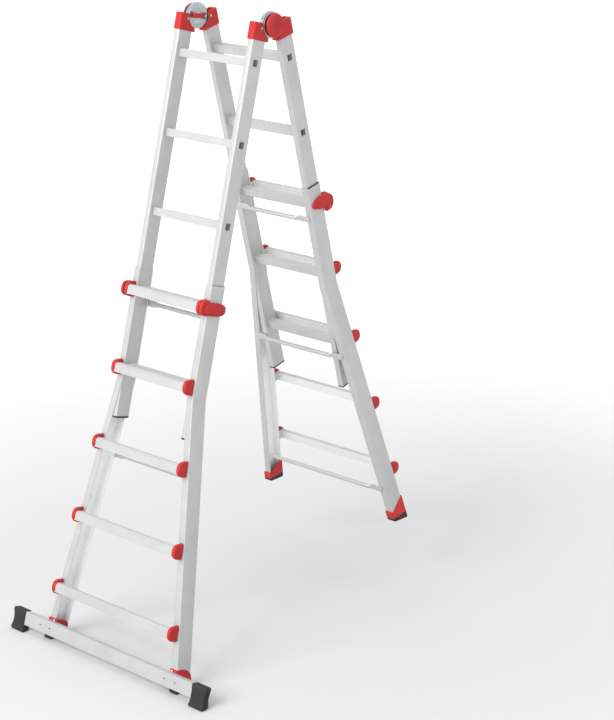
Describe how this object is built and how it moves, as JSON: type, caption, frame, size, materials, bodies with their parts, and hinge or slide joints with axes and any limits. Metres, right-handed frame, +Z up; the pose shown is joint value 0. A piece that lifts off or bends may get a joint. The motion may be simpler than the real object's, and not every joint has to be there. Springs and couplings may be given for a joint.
{
  "type": "multi position ladder",
  "caption": "Telescopic multi position ladder standing as a stepladder, with flared lower sections, disc hinges, lock levers and a stabiliser bar.",
  "frame": {"origin": "middle of the bounding box's footprint, at floor level under the stabiliser bar's rubber ends", "axes": "+Z up, +X along the rungs, -Y towards the side that carries the stabiliser bar"},
  "size_m": [0.99, 1.2978, 2.2538],
  "materials": {
    "aluminium": "extruded, satin",
    "red_plastic": "moulded, satin",
    "zinc_steel": "zinc plated",
    "rubber": "moulded, matt"
  },
  "bodies": {
    "front_upper": {"front_inner_stile_left": "aluminium", "front_inner_stile_right": "aluminium", "front_inner_rung_1": "aluminium", "front_inner_rung_2": "aluminium", "front_inner_rung_3": "aluminium", "front_inner_rung_4": "aluminium", "front_inner_rung_5": "aluminium", "front_hinge_shoe_left": "red_plastic", "front_hinge_shoe_right": "red_plastic", "front_hinge_plate_left": "zinc_steel", "front_hinge_plate_right": "zinc_steel", "hinge_pivot_left": "zinc_steel", "hinge_pivot_right": "zinc_steel"},
    "rear_upper": {"rear_inner_stile_left": "aluminium", "rear_inner_stile_right": "aluminium", "rear_inner_rung_1": "aluminium", "rear_inner_rung_2": "aluminium", "rear_inner_rung_3": "aluminium", "rear_inner_rung_4": "aluminium", "rear_inner_rung_5": "aluminium", "rear_hinge_shoe_left": "red_plastic", "rear_hinge_shoe_right": "red_plastic", "rear_hinge_plate_left": "zinc_steel", "rear_hinge_plate_right": "zinc_steel"},
    "front_lower": {"front_outer_stile_left": "aluminium", "front_outer_stile_right": "aluminium", "front_outer_rung_1": "aluminium", "front_outer_rung_2": "aluminium", "front_outer_rung_3": "aluminium", "front_outer_rung_4": "aluminium", "front_outer_rung_5": "aluminium", "front_brace_1": "aluminium", "front_brace_2": "aluminium", "front_brace_3": "aluminium", "front_foot_left": "red_plastic", "front_foot_right": "red_plastic", "stabiliser_bar": "aluminium", "stabiliser_cap_left": "rubber", "stabiliser_cap_right": "rubber"},
    "rear_lower": {"rear_outer_stile_left": "aluminium", "rear_outer_stile_right": "aluminium", "rear_outer_rung_1": "aluminium", "rear_outer_rung_2": "aluminium", "rear_outer_rung_3": "aluminium", "rear_outer_rung_4": "aluminium", "rear_outer_rung_5": "aluminium", "rear_brace_1": "aluminium", "rear_brace_2": "aluminium", "rear_brace_3": "aluminium", "rear_foot_left": "red_plastic", "rear_foot_right": "red_plastic"},
    "front_lever_left": {"front_lever_left": "red_plastic"},
    "front_lever_right": {"front_lever_right": "red_plastic"},
    "rear_lever_left": {"rear_lever_left": "red_plastic"},
    "rear_lever_right": {"rear_lever_right": "red_plastic"},
    "hinge_release_left": {"hinge_release_left": "red_plastic"},
    "hinge_release_right": {"hinge_release_right": "red_plastic"}
  },
  "joints": [
    {"name": "hinge_fold", "type": "hinge", "parent": "front_upper", "child": "rear_upper", "pos_m": [0, 0.06159, 2.20681], "axis": [1, 0, 0], "range_deg": [-29.1, 150.8]},
    {"name": "front_slide", "type": "slide", "parent": "front_upper", "child": "front_lower", "axis": [0, -0.2568, -0.9665], "range_m": [-0.84, 0]},
    {"name": "rear_slide", "type": "slide", "parent": "rear_upper", "child": "rear_lower", "axis": [0, 0.247, -0.969], "range_m": [-0.56, 0.28]},
    {"name": "front_lever_left_swing", "type": "hinge", "parent": "front_lower", "child": "front_lever_left", "pos_m": [-0.1915, -0.31116, 1.29422], "axis": [0, 0.2568, 0.9665], "range_deg": [0, 25], "stiffness_Nm_per_rad": 1, "springref_deg": -17.19},
    {"name": "front_lever_right_swing", "type": "hinge", "parent": "front_lower", "child": "front_lever_right", "pos_m": [0.1915, -0.31116, 1.29422], "axis": [0, -0.2568, -0.9665], "range_deg": [0, 25], "stiffness_Nm_per_rad": 1, "springref_deg": -17.19},
    {"name": "rear_lever_left_swing", "type": "hinge", "parent": "rear_lower", "child": "rear_lever_left", "pos_m": [0.1915, 0.35592, 1.56182], "axis": [0, -0.247, 0.969], "range_deg": [0, 25], "stiffness_Nm_per_rad": 1, "springref_deg": -17.19},
    {"name": "rear_lever_right_swing", "type": "hinge", "parent": "rear_lower", "child": "rear_lever_right", "pos_m": [-0.1915, 0.35592, 1.56182], "axis": [0, 0.247, -0.969], "range_deg": [0, 25], "stiffness_Nm_per_rad": 1, "springref_deg": -17.19},
    {"name": "hinge_release_left_pull", "type": "slide", "parent": "front_upper", "child": "hinge_release_left", "axis": [1, 0, 0], "range_m": [0, 0.006], "stiffness_N_per_m": 1200, "springref_m": -0.004},
    {"name": "hinge_release_right_pull", "type": "slide", "parent": "front_upper", "child": "hinge_release_right", "axis": [-1, 0, 0], "range_m": [0, 0.006], "stiffness_N_per_m": 1200, "springref_m": -0.004}
  ]
}
